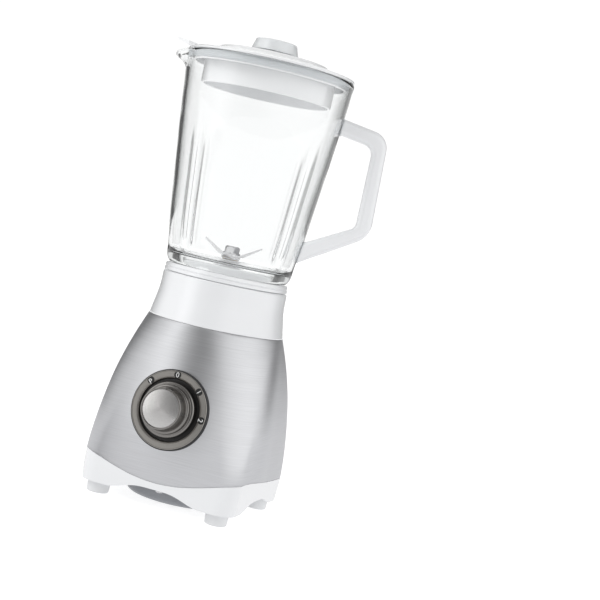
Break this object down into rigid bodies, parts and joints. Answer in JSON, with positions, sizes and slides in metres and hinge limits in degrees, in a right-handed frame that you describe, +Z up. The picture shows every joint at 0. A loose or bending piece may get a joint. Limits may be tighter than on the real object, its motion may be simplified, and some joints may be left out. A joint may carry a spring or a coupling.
{
  "type": "countertop blender",
  "caption": "Blender with a steel-clad motor base, front dial, glass jug with handle and spout, lid and measuring cap.",
  "frame": {"origin": "the point on the worktop under the motor's axis, midway between the four feet", "axes": "+Z up along the motor's axis, -Y to the front with the control dial, +X to the user's right"},
  "size_m": [0.1865, 0.1677, 0.3969],
  "materials": {
    "white_gloss": "glossy moulded white",
    "grey_plastic": "fine texture",
    "brushed_steel": "horizontal brushing, satin",
    "liner_plastic": "plain moulded",
    "foot_rubber": "soft, matt",
    "screw_steel": "zinc plated",
    "gunmetal": "dark anodised, satin",
    "black_plastic": "fine texture",
    "lamination_steel": "stacked sheet edges",
    "copper_wire": "enamelled copper wire",
    "bracket_metal": "cast, satin",
    "bearing_steel": "ground",
    "brass": "drawn brass",
    "carbon": "pressed carbon",
    "shaft_steel": "turned",
    "black_rubber": "matt",
    "capacitor_yellow": "dipped coating",
    "spun_metal": "spun circular grain",
    "clear_glass": "clear pressed glass",
    "clear_seal": "translucent silicone",
    "blade_steel": "stamped, ground edge",
    "frosted_cap": "frosted translucent"
  },
  "bodies": {
    "base": {"base_tray": "white_gloss", "bottom_cover": "grey_plastic", "steel_skin": "brushed_steel", "inner_housing": "liner_plastic", "neck": "white_gloss", "foot_front_left": "foot_rubber", "foot_front_right": "foot_rubber", "foot_rear_left": "foot_rubber", "foot_rear_right": "foot_rubber", "cover_screws": "screw_steel", "neck_screws": "screw_steel", "dial_bezel": "gunmetal", "switch_body": "black_plastic", "switch_screws": "screw_steel", "motor_stator": "lamination_steel", "field_coils": "copper_wire", "upper_motor_bracket": "bracket_metal", "lower_motor_bracket": "bracket_metal", "upper_bearing": "bearing_steel", "lower_bearing": "bearing_steel", "brush_holders": "brass", "carbon_brushes": "carbon", "brush_springs": "shaft_steel", "motor_screws": "screw_steel", "motor_dampers": "black_rubber", "shaft_seal": "black_rubber", "cord_grommet": "black_rubber", "interlock_switch": "black_plastic", "noise_capacitor": "capacitor_yellow"},
    "knob": {"knob": "gunmetal", "knob_face": "spun_metal", "switch_shaft": "grey_plastic"},
    "motor_rotor": {"motor_shaft": "shaft_steel", "armature_core": "lamination_steel", "armature_windings": "copper_wire", "commutator": "copper_wire", "cooling_fan": "black_plastic", "drive_coupler": "black_rubber"},
    "interlock": {"interlock_plunger": "grey_plastic"},
    "jug": {"jug_glass": "clear_glass", "jug_handle": "white_gloss", "handle_pads": "clear_seal", "jug_collar": "white_gloss", "blade_carrier": "white_gloss", "carrier_seal": "clear_seal", "blade_bushing": "brass"},
    "blade_rotor": {"blade_shaft": "shaft_steel", "upper_blade": "blade_steel", "lower_blade": "blade_steel", "blade_washers": "shaft_steel", "blade_nut": "blade_steel", "driven_coupler": "black_rubber", "shaft_clip": "shaft_steel"},
    "lid": {"lid": "white_gloss", "lid_seal": "clear_seal"},
    "cap": {"measuring_cap": "frosted_cap"}
  },
  "joints": [
    {"name": "knob_turn", "type": "hinge", "parent": "base", "child": "knob", "pos_m": [0, -0.06617, 0.083], "axis": [0, 0.9925, -0.1219], "range_deg": [-47, 94]},
    {"name": "motor_spin", "type": "hinge", "parent": "base", "child": "motor_rotor", "pos_m": [0, 0, 0.1], "axis": [0, 0, 1], "continuous": true},
    {"name": "jug_lift", "type": "slide", "parent": "base", "child": "jug", "axis": [0, 0, 1], "range_m": [0, 0.08]},
    {"name": "interlock_travel", "type": "slide", "parent": "base", "child": "interlock", "axis": [0, 0, 1], "range_m": [0, 0.003]},
    {"name": "blade_spin", "type": "hinge", "parent": "jug", "child": "blade_rotor", "pos_m": [0, 0, 0.2], "axis": [0, 0, 1], "continuous": true},
    {"name": "lid_lift", "type": "slide", "parent": "jug", "child": "lid", "axis": [0, 0, 1], "range_m": [0, 0.06]},
    {"name": "cap_lift", "type": "slide", "parent": "lid", "child": "cap", "axis": [0, 0, 1], "range_m": [0, 0.05]}
  ],
  "couplings": [
    {"joint": "blade_spin", "follows": "motor_spin", "ratio": 1},
    {"joint": "interlock_travel", "follows": "jug_lift", "ratio": 0.0375}
  ]
}
